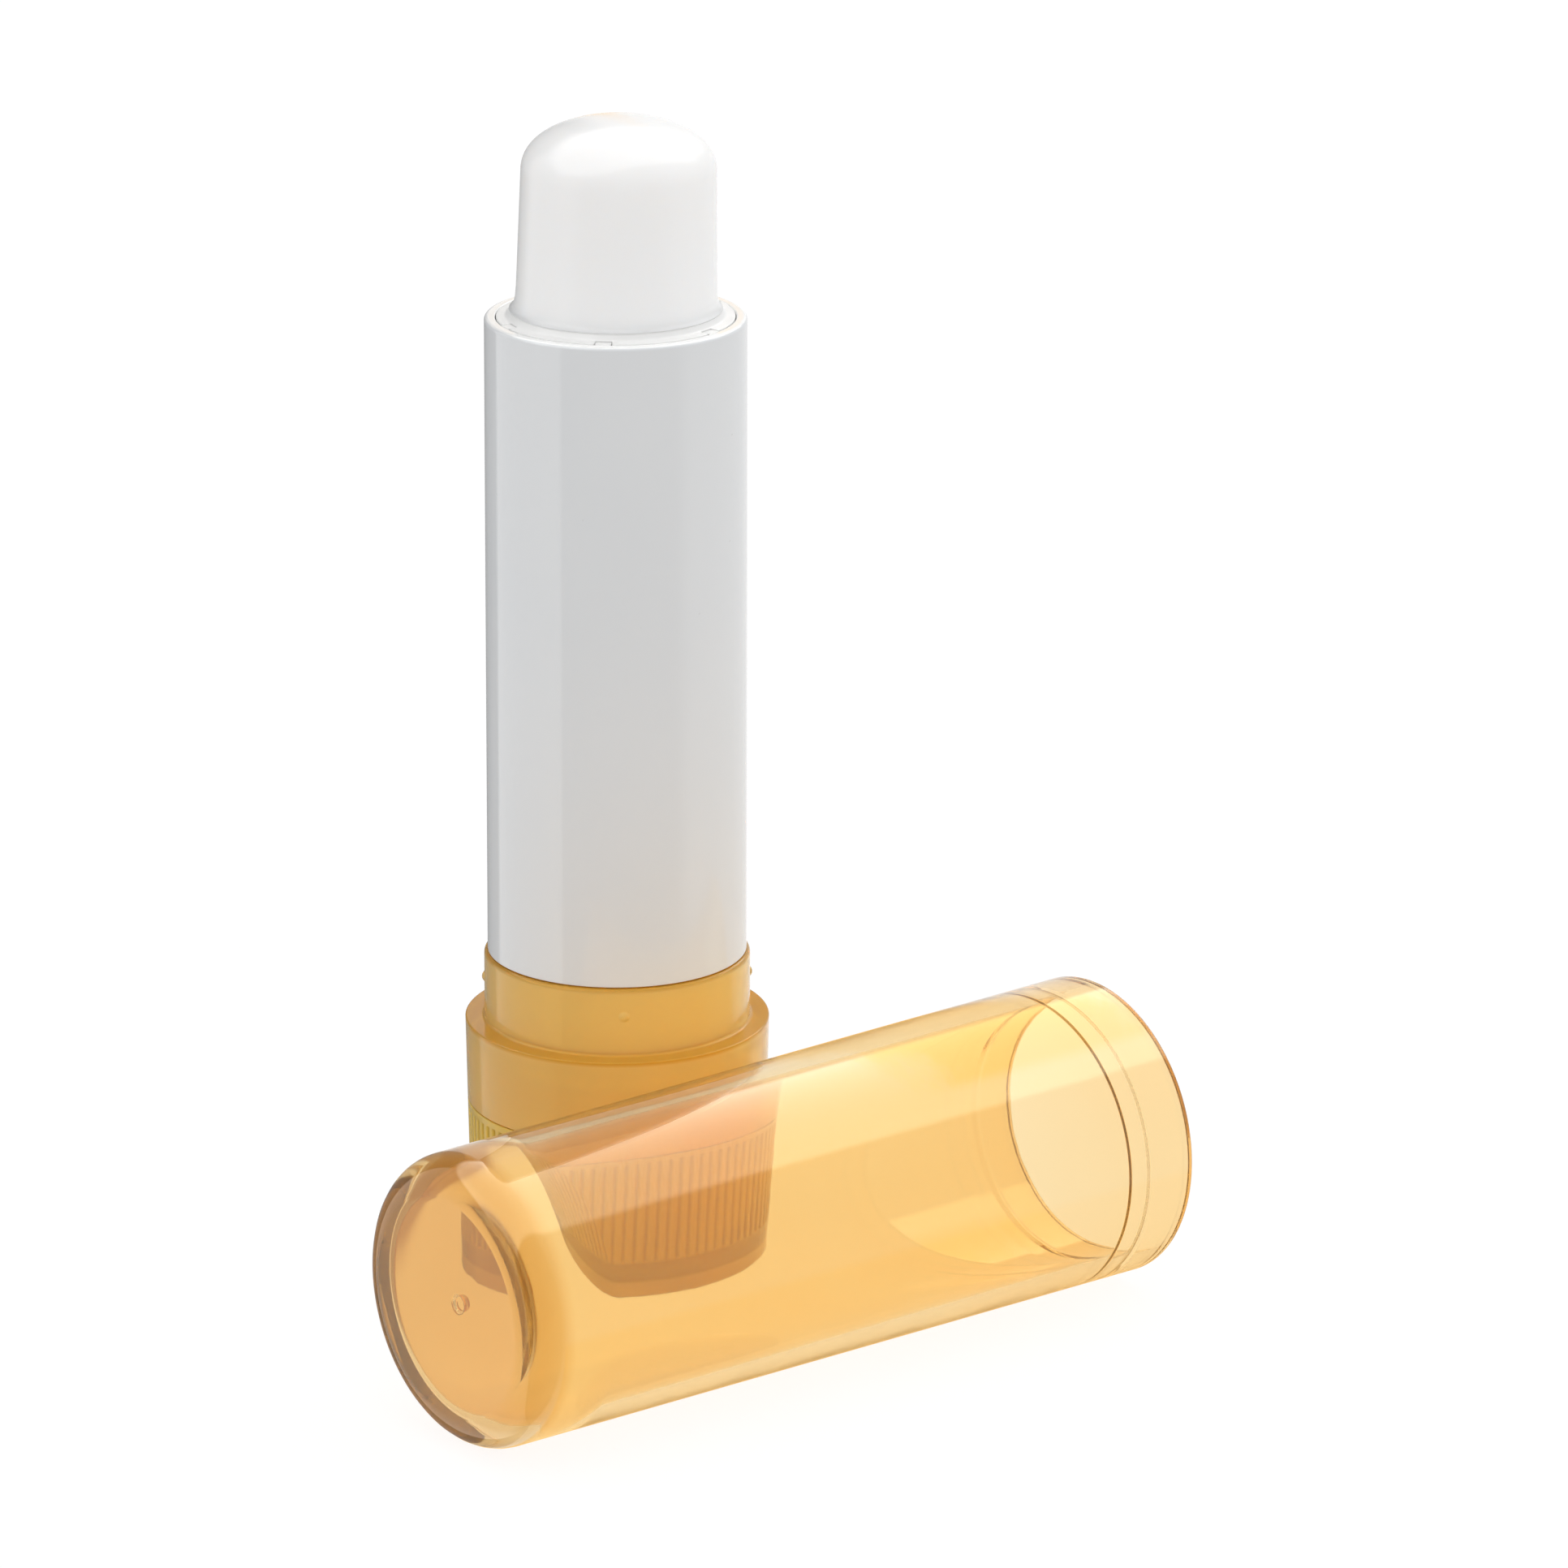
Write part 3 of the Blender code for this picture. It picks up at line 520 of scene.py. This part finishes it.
def make_collar():
    nub_turns = spaced(NUB_COUNT, NUB_TURN)

    def nubs(angle, radius, height):
        if radius < NECK_SKIN:
            return 0.0
        across = nearest(angle, nub_turns) * NECK_RADIUS
        distance = math.hypot(across, height - NUB_HEIGHT)
        if distance >= NUB_RADIUS:
            return 0.0
        return max(0.0, math.sqrt(NUB_RADIUS ** 2 - distance ** 2) - NUB_SUNK)

    skirt_foot = PARTING + 0.03
    corners = [
        (NECK_BORE, NECK_TOP, 0.08),
        (NECK_RADIUS, NECK_TOP, 0.28),
        (NECK_RADIUS, NUB_ROWS[1], 0.0),
        (NECK_RADIUS, NUB_ROWS[0], 0.0),
        (NECK_RADIUS, BASE_HEIGHT, 0.18),
        (BASE_TOP_RADIUS, BASE_HEIGHT, 0.09),
        (base_radius(skirt_foot), skirt_foot, 0.06),
        (SKIRT_BORE, skirt_foot, 0.05),
        (SKIRT_BORE, LEDGE_UNDERSIDE, 0.1),
        (NECK_BORE, LEDGE_UNDERSIDE, 0.08),
    ]
    path = divided(closed(corners), 0.06, *NUB_ROWS, NECK_SKIN)
    collar = turned("collar", path, 720, ring=True, swell=nubs)
    bands = (
        (16.62, 30.0, (1.0, 0.78, 0.29)),
        # Painted shade: a dark band along the ledge's edge, where the neck rises from it
        (16.25, 16.6, (0.82, 0.5, 0.08)),
        # Painted shade: a dark band at the neck's top, under the barrel's foot
        (20.72, 30.0, (0.66, 0.4, 0.06)),
    )
    amber = cloudy_amber("amber_collar", (1.0, 0.755, 0.27), (0.985, 0.74, 0.26), bands)
    wear(collar, amber, "holder", "collar_sleeve", "collar_sleeve")


def make_wheel():
    def knurl(angle, radius, height):
        if radius < WHEEL_SKIN:
            return 0.0
        run = smooth(*KNURL_FOOT, height) * (1.0 - smooth(*KNURL_TOP, height))
        phase = (angle * KNURL_COUNT / math.tau) % 1.0
        groove = 1.0 - min(1.0, abs(phase - 0.5) / 0.3)
        return -KNURL_DEPTH * run * smooth(0.0, 1.0, groove)

    spigot = SKIRT_BORE - 0.08
    shoulder = PARTING - 0.05
    row_heights = sorted((height for pair in KNURL_ROWS for height in pair), reverse=True)
    corners = [
        (0.0, BOSS_TOP, 0.0),
        (BOSS_RADIUS, BOSS_TOP, 0.1),
        (BOSS_RADIUS, WHEEL_FLOOR, 0.25),
        (SPIGOT_BORE, WHEEL_FLOOR, 0.3),
        (SPIGOT_BORE, SPIGOT_TOP, 0.1),
        (spigot, SPIGOT_TOP, 0.2),
        (spigot, shoulder, 0.05),
        (base_radius(shoulder), shoulder, 0.1),
        *((base_radius(height), height, 0.0) for height in row_heights),
        (base_radius(0.0), 0.0, 0.3),
        (0.0, 0.0, 0.0),
    ]
    path = rounded(corners)
    for low, high in KNURL_ROWS:
        path = divided(path, 0.045, low, high, WHEEL_SKIN)
    wheel = turned("wheel", path, KNURL_COUNT * 10, swell=knurl)
    # Painted shade in a dark band just under the knurl, and painted light in a bright band at the
    # foot
    bands = ((1.3, 2.8, (0.67, 0.47, 0.08)), (-1.0, 1.2, (1.0, 0.8, 0.33)))
    amber = cloudy_amber("amber_wheel", (0.98, 0.785, 0.205), (0.96, 0.77, 0.195), bands,
                         shade_grooves=True)
    wear(wheel, amber, "wheel", "thumbwheel", "thumbwheel")


def make_barrel():
    corners = [
        (BARREL_BORE, BARREL_RIM, 0.1),
        (BARREL_RIM_RADIUS, BARREL_RIM, 0.25),
        (BARREL_FOOT_RADIUS, BARREL_FOOT, 0.06),
        (STEM_UPPER_RADIUS, BARREL_FOOT, 0.05),
        (STEM_UPPER_RADIUS, 15.1, 0.05),
        (STEM_RADIUS, 15.0, 0.05),
        (STEM_RADIUS, STEM_FOOT, 0.1),
        (STEM_BORE, STEM_FOOT, 0.1),
        (STEM_BORE, 21.045, 0.05),
        (BARREL_BORE, 21.795, 0.05),
    ]
    barrel = turned("barrel_tube", closed(corners), 256, ring=True)
    wear(barrel, white_gloss("white_barrel"), "holder", "barrel")
    shape = bmesh.new()
    size = Vector((RIB_OUTER - RIB_INNER, RIB_WIDTH, RIB_TOP - RIB_FOOT)) * MM
    middle = Vector(((RIB_INNER + RIB_OUTER) / 2, 0.0, (RIB_FOOT + RIB_TOP) / 2)) * MM
    for turn in spaced(RIB_COUNT, RIB_TURN):
        corner_points = bmesh.ops.create_cube(shape, size=1.0)["verts"]
        bmesh.ops.scale(shape, vec=size, verts=corner_points)
        place = Matrix.Rotation(turn, 4, "Z") @ Matrix.Translation(middle)
        bmesh.ops.transform(shape, matrix=place, verts=corner_points)
    ribs = placed("guide_ribs", shape)
    bevel = ribs.modifiers.new("soft edges", "BEVEL")
    bevel.width = RIB_EDGE * MM
    bevel.segments = 3
    # Painted shade: the ribs take the satin white darkened to 0.86, like the lip
    wear(ribs, white_satin("shaded_white_ribs", 0.86), "holder", "barrel")
    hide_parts("barrel")


def make_balm():
    path = [(0.0, BALM_TOP)]
    for index in range(1, DOME_STEPS + 1):
        angle = math.pi / 2 * (1 - index / DOME_STEPS)
        across = DOME_RADIUS * max(0.0, math.cos(angle)) ** (2 / DOME_POWER)
        up = DOME_HEIGHT * max(0.0, math.sin(angle)) ** (2 / DOME_POWER)
        path.append((across, BALM_TOP - DOME_HEIGHT + up))
    # A small flare at the foot, then the stem that the cup holds
    path += [(6.26, 64.2), (6.3, 63.5), (6.38, 63.1), (6.5, 62.9), (6.64, 62.83), (6.66, 62.78)]
    path += [(6.1, 62.7), (5.95, 62.5), (5.95, 51.4), (5.7, 51.15), (0.0, 51.15)]
    balm = turned("balm_stick", path, 192)
    aside = Vector(CAMERA_RIGHT) * LEAN * MM
    for vertex in balm.data.vertices:
        vertex.co += aside * smooth(*LEAN_HEIGHTS, vertex.co.z / MM)
    wear(balm, wax("wax_balm"), "lift", "balm", "balm")


def make_cup_lip():
    """The cup's lip, which closes the ring between the balm's foot and the barrel's rim."""
    rib_turns = spaced(RIB_COUNT, RIB_TURN)

    def notches(angle, radius, height):
        if radius < RIB_INNER or nearest(angle, rib_turns) * NOTCH_RADIUS >= NOTCH_HALF_WIDTH:
            return 0.0
        return NOTCH_FLOOR - radius

    corners = [
        (LIP_INNER, LIP_FOOT, 0.0),
        (LIP_INNER, 62.72, 0.05),
        (6.62, 62.74, 0.1),
        (6.84, 62.38, 0.2),
        (LIP_OUTER, RIB_TOP, 0.05),
        (LIP_OUTER, LIP_FOOT, 0.05),
    ]
    lip = turned("cup_lip", closed(corners, 4), 1440, ring=True, swell=notches)
    # Painted shade: the lip takes the cup's satin white darkened to 0.86
    wear(lip, white_satin("shaded_satin_lip", 0.86), "lift", "elevator_cup")


def dress_inner_pieces():
    for node, name in (("elevator_cup", "satin_cup"), ("drive_screw", "satin_screw")):
        paint(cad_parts[node], white_satin(name))


# Studio


def make_floor():
    shape = bmesh.new()
    bmesh.ops.create_grid(shape, x_segments=1, y_segments=1, size=FLOOR_HALF_SIDE)
    floor = placed("floor", shape)
    floor.location = (0.0, 0.0, -FLOOR_DROP * MM)
    material = bpy.data.materials.new("white_floor")
    material.use_nodes = True
    nodes = Nodes(material.node_tree)
    nodes.tree.nodes.remove(nodes.tree.nodes["Principled BSDF"])
    rays = nodes.add("LightPath").outputs
    # Clear pieces show a brown card on the floor well to the stick's left
    left = (-CAMERA_RIGHT[0], -CAMERA_RIGHT[1], 0.0)
    aside = nodes.vectors("DOT_PRODUCT", nodes.add("TexCoord").outputs["Object"], left)["Value"]
    card = nodes.maths("MULTIPLY", nodes.spread(aside, 17.0 * MM, 26.0 * MM, eased=True),
                       rays["Is Transmission Ray"])
    tone = nodes.blend("MIX", card, (1.0, 1.0, 1.0), (0.43, 0.25, 0.065))
    # White of its own to the eye and through clear plastic, and matt for light and shadow
    matt = nodes.add("BsdfDiffuse", Color=(0.76, 0.76, 0.76))
    glow = nodes.add("Emission", Color=tone, Strength=1.1)
    seen = nodes.maths("MAXIMUM", rays["Is Camera Ray"], rays["Is Transmission Ray"])
    mix = nodes.add("MixShader", Fac=nodes.maths("MULTIPLY", seen, 0.8))
    nodes.feed(mix.inputs[1], matt.outputs["BSDF"])
    nodes.feed(mix.inputs[2], glow.outputs["Emission"])
    nodes.feed(nodes.tree.nodes["Material Output"].inputs["Surface"], mix.outputs["Shader"])
    floor.data.materials.append(material)
    floor.visible_glossy = False


def make_world():
    """White to the eye and through clear plastic; for light and gloss, a tent with soft panels."""
    world = bpy.data.worlds.new("studio")
    bpy.context.scene.world = world
    world.use_nodes = True
    nodes = Nodes(world.node_tree)
    maths = nodes.maths
    background = world.node_tree.nodes["Background"].inputs
    rays = nodes.add("LightPath").outputs
    direction = nodes.add("TexCoord").outputs["Generated"]

    def along(axis):
        return nodes.vectors("DOT_PRODUCT", direction, axis)["Value"]

    def degrees(angle):
        return maths("MULTIPLY", angle, 180.0 / math.pi)

    def within(angle, low, high, edge):
        return nodes.between(angle, low, high, edge, eased=True)

    def both(first, second):
        return maths("MULTIPLY", first, second)

    def panel(first, second, strength):
        return maths("MULTIPLY", both(first, second), strength)

    def side_panel(turns, turn_edge, rises, strength):
        """Panel over a range of turns to the left and of rises, in degrees."""
        return panel(within(left_turn, *turns, turn_edge), within(rise, *rises, 12.0), strength)

    def total(base, *panels):
        result = base
        for item in panels:
            result = maths("ADD", item, result)
        return result

    def choose(share, first, second):
        return maths("ADD", maths("MULTIPLY", share, maths("SUBTRACT", second, first)), first)

    right = Vector(CAMERA_RIGHT)
    towards = Vector((-CAMERA_FORWARD[0], -CAMERA_FORWARD[1], 0.0)).normalized()
    upwards = (0.0, 0.0, 1.0)
    # Angle to the camera's left of the direction to the camera, seen from the object, in degrees
    left_turn = degrees(maths("ARCTAN2", along(-right), along(towards)))
    rise = degrees(maths("ARCSINE", along(upwards)))
    # Angle over the lying cap, from level towards the camera's side to level behind it
    over = degrees(maths("ARCTAN2", along(upwards), along((0.0, -1.0, 0.0))))
    sideways = degrees(maths("ARCSINE", along((1.0, 0.0, 0.0))))

    # Light on matt surfaces: brighter above and at the right, darker behind at the left
    soft = total(
        0.9,
        nodes.spread(rise, 15.0, 80.0, out_high=0.25, eased=True),
        side_panel((100.0, 170.0), 12.0, (-89.0, 60.0), -0.5),
        side_panel((-160.0, -60.0), 15.0, (-89.0, 60.0), 0.15),
    )
    # What gloss mirrors: panels overhead, at the left, and at the right round to the back
    mirrored = total(
        0.3,
        panel(within(over, 60.0, 140.0, 3.0), within(sideways, -62.0, 62.0, 8.0), 3.1),
        side_panel((48.0, 128.0), 1.5, (-75.0, 40.0), 1.1),
        side_panel((-200.0, -62.0), 8.0, (-100.0, 60.0), 0.7),
        side_panel((174.0, 200.0), 3.0, (-100.0, 60.0), 0.7),
    )
    behind = total(1.0, nodes.spread(rise, 10.0, 50.0, out_high=0.35, eased=True))
    light = choose(rays["Is Glossy Ray"], soft, mirrored)
    light = choose(rays["Is Transmission Ray"], light, behind)
    light = choose(rays["Is Camera Ray"], light, 1.0)

    # Clear pieces see a brown card at the left, and gloss sees amber strips behind and low down
    through = rays["Is Transmission Ray"]
    bounced = both(rays["Is Glossy Ray"], maths("SUBTRACT", 1.0, through))
    left_card = both(within(left_turn, 60.0, 165.0, 10.0), within(rise, -100.0, 50.0, 12.0))
    back = nodes.spread(along((0.0, 1.0, 0.0)), -0.2, 0.0, eased=True)
    low_down = nodes.spread(rise, -19.0, -26.0, eased=True)
    strips = maths("MAXIMUM", both(within(sideways, 34.9, 36.6, 0.3), back),
                   both(within(sideways, 26.0, 46.0, 3.0), low_down))
    colour = nodes.blend("MIX", both(through, left_card), (1.0, 1.0, 1.0), (0.47, 0.27, 0.065))
    colour = nodes.blend("MIX", both(bounced, strips), colour, (1.1, 0.7, 0.27))
    nodes.feed(background["Strength"], light)
    nodes.feed(background["Color"], colour)


def make_camera():
    forward = Vector(CAMERA_FORWARD).normalized()
    level_right = Vector(CAMERA_RIGHT).normalized()
    level_up = level_right.cross(forward)
    right = level_right * math.cos(CAMERA_ROLL) + level_up * math.sin(CAMERA_ROLL)
    up = level_up * math.cos(CAMERA_ROLL) - level_right * math.sin(CAMERA_ROLL)
    data = bpy.data.cameras.new("camera")
    data.sensor_width = SENSOR
    data.lens = SENSOR * LENS_SHARE
    data.clip_start = 0.01
    data.clip_end = 20.0
    camera = bpy.data.objects.new("camera", data)
    turn = Matrix((right, up, -forward)).transposed()
    camera.matrix_world = Matrix.Translation(Vector(CAMERA_PLACE) * MM) @ turn.to_4x4()
    bpy.context.scene.collection.objects.link(camera)
    bpy.context.scene.camera = camera


def set_render():
    """Plain colours, and enough bounces for light to pass the clear walls."""
    scene = bpy.context.scene
    scene.view_settings.view_transform = "Standard"
    scene.cycles.max_bounces = 48
    scene.cycles.transmission_bounces = 48
    scene.cycles.glossy_bounces = 40
    scene.cycles.diffuse_bounces = 8
    scene.cycles.blur_glossy = 0.0


make_camera()
make_cap()
make_collar()
make_wheel()
make_barrel()
make_balm()
make_cup_lip()
dress_inner_pieces()
make_floor()
make_world()
set_render()
